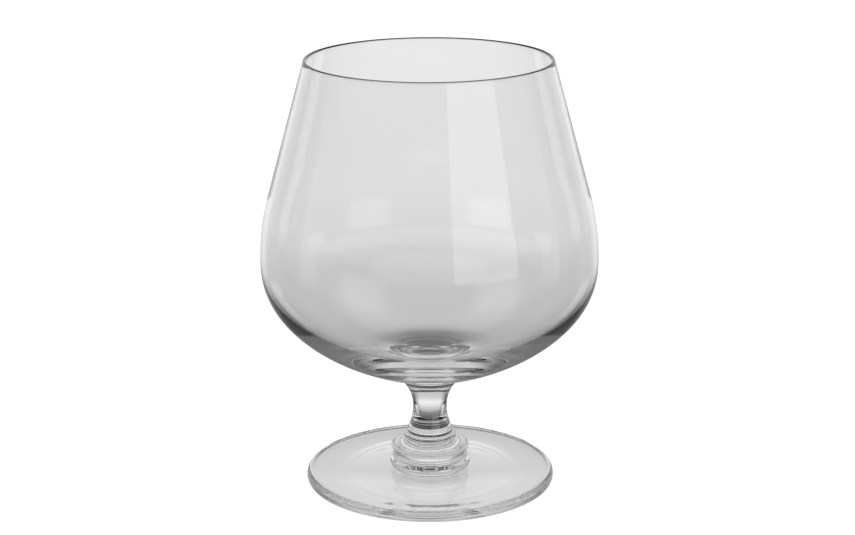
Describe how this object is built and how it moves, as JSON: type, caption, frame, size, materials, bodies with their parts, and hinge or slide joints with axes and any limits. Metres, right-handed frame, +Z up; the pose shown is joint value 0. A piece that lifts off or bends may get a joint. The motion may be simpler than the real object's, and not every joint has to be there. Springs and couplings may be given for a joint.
{
  "type": "brandy snifter",
  "caption": "Clear glass brandy snifter with a wide tapering bowl on a short flared stem, a ringed collar, a squat knop and a flat round foot.",
  "frame": {"origin": "on the table, at the middle of the foot's underside", "axes": "+Z up along the glass's own axis, from the foot to the mouth; the glass is round, so +X and +Y are any two square directions"},
  "size_m": [0.101, 0.101, 0.1301],
  "materials": {
    "clear_glass": "fire polished, clear and colourless"
  },
  "bodies": {
    "root": {"foot": "clear_glass", "knop": "clear_glass", "collar": "clear_glass", "stem": "clear_glass", "bowl": "clear_glass"}
  },
  "joints": []
}
